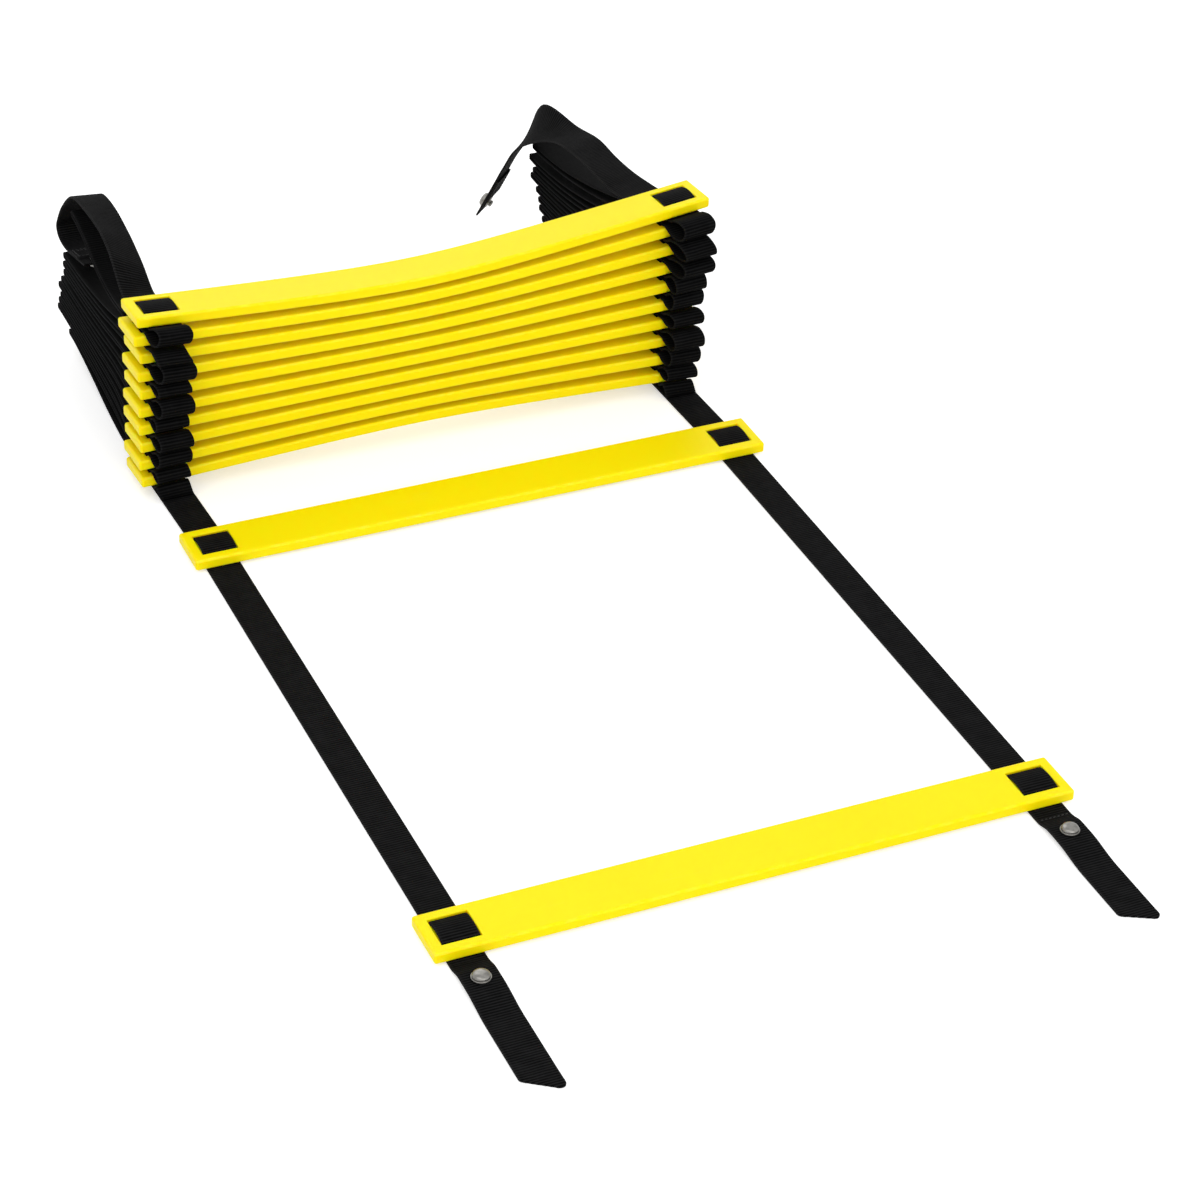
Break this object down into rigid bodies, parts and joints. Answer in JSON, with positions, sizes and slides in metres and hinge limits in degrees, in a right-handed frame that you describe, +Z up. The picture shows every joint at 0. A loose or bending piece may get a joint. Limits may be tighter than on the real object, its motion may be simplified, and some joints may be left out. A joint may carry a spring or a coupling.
{
  "type": "agility ladder",
  "caption": "Folding agility ladder: flat plastic rungs threaded on two webbing straps, its first bay laid out and the other rungs folded up in a stack.",
  "frame": {"origin": "middle of the part's box, at its base: the floor it lies on, between rung 1 and rung 2", "axes": "+X along the rungs to the ladder's right, +Y along the straps from the front bay to the stack, +Z up"},
  "size_m": [0.4368, 0.9734, 0.1586],
  "materials": {
    "yellow_plastic": "moulded yellow plastic with a soft sheen",
    "black_webbing": "black woven webbing, matt, with a fine cross rib",
    "nickel": "satin nickel-plated steel"
  },
  "bodies": {
    "stack_base": {"rung_03": "yellow_plastic", "left_base_run": "black_webbing", "left_fold_02": "black_webbing", "left_fold_03": "black_webbing", "right_base_run": "black_webbing", "right_fold_02": "black_webbing", "right_fold_03": "black_webbing"},
    "layer_04": {"rung_04": "yellow_plastic", "left_fold_04": "black_webbing", "right_fold_04": "black_webbing"},
    "layer_05": {"rung_05": "yellow_plastic", "left_fold_05": "black_webbing", "right_fold_05": "black_webbing"},
    "layer_06": {"rung_06": "yellow_plastic", "left_fold_06": "black_webbing", "right_fold_06": "black_webbing"},
    "layer_07": {"rung_07": "yellow_plastic", "left_fold_07": "black_webbing", "right_fold_07": "black_webbing"},
    "layer_08": {"rung_08": "yellow_plastic", "left_fold_08": "black_webbing", "right_fold_08": "black_webbing"},
    "layer_09": {"rung_09": "yellow_plastic", "left_fold_09": "black_webbing", "right_fold_09": "black_webbing"},
    "layer_10": {"rung_10": "yellow_plastic", "left_fold_10": "black_webbing", "right_fold_10": "black_webbing"},
    "layer_11": {"rung_11": "yellow_plastic", "left_fold_11": "black_webbing", "right_fold_11": "black_webbing"},
    "layer_12": {"rung_12": "yellow_plastic", "left_rear_tail": "black_webbing", "left_rear_snap_cap": "nickel", "left_rear_snap_stud": "nickel", "right_rear_tail": "black_webbing", "right_rear_snap_cap": "nickel", "right_rear_snap_stud": "nickel"},
    "second_rung": {"rung_02": "yellow_plastic", "left_hump_02": "black_webbing", "right_hump_02": "black_webbing"},
    "front_bay": {"left_bay_run": "black_webbing", "right_bay_run": "black_webbing"},
    "first_rung": {"rung_01": "yellow_plastic", "left_hump_01": "black_webbing", "right_hump_01": "black_webbing"},
    "left_front_end": {"left_front_tail": "black_webbing", "left_front_snap_cap": "nickel", "left_front_snap_socket": "nickel"},
    "right_front_end": {"right_front_tail": "black_webbing", "right_front_snap_cap": "nickel", "right_front_snap_socket": "nickel"}
  },
  "joints": [
    {"name": "layer_04_lift", "type": "slide", "parent": "stack_base", "child": "layer_04", "axis": [0, 0, 1], "range_m": [0, 0.018]},
    {"name": "layer_05_lift", "type": "slide", "parent": "layer_04", "child": "layer_05", "axis": [0, 0, 1], "range_m": [0, 0.018]},
    {"name": "layer_06_lift", "type": "slide", "parent": "layer_05", "child": "layer_06", "axis": [0, 0, 1], "range_m": [0, 0.018]},
    {"name": "layer_07_lift", "type": "slide", "parent": "layer_06", "child": "layer_07", "axis": [0, 0, 1], "range_m": [0, 0.018]},
    {"name": "layer_08_lift", "type": "slide", "parent": "layer_07", "child": "layer_08", "axis": [0, 0, 1], "range_m": [0, 0.018]},
    {"name": "layer_09_lift", "type": "slide", "parent": "layer_08", "child": "layer_09", "axis": [0, 0, 1], "range_m": [0, 0.018]},
    {"name": "layer_10_lift", "type": "slide", "parent": "layer_09", "child": "layer_10", "axis": [0, 0, 1], "range_m": [0, 0.018]},
    {"name": "layer_11_lift", "type": "slide", "parent": "layer_10", "child": "layer_11", "axis": [0, 0, 1], "range_m": [0, 0.018]},
    {"name": "layer_12_lift", "type": "slide", "parent": "layer_11", "child": "layer_12", "axis": [0, 0, 1], "range_m": [0, 0.018]},
    {"name": "second_rung_slide", "type": "slide", "parent": "stack_base", "child": "second_rung", "axis": [0, 1, 0], "range_m": [0, 0.04]},
    {"name": "front_bay_fold", "type": "hinge", "parent": "stack_base", "child": "front_bay", "pos_m": [0.0034, 0.07891, 0.0015], "axis": [-1, 0, 0], "range_deg": [0, 95]},
    {"name": "first_rung_slide", "type": "slide", "parent": "front_bay", "child": "first_rung", "axis": [0, 1, 0], "range_m": [0, 0.2]},
    {"name": "left_end_fold", "type": "hinge", "parent": "front_bay", "child": "left_front_end", "pos_m": [-0.1916, -0.36609, 0.0015], "axis": [-1, 0, 0], "range_deg": [0, 90]},
    {"name": "right_end_fold", "type": "hinge", "parent": "front_bay", "child": "right_front_end", "pos_m": [0.1984, -0.36609, 0.0015], "axis": [-1, 0, 0], "range_deg": [0, 90]}
  ]
}
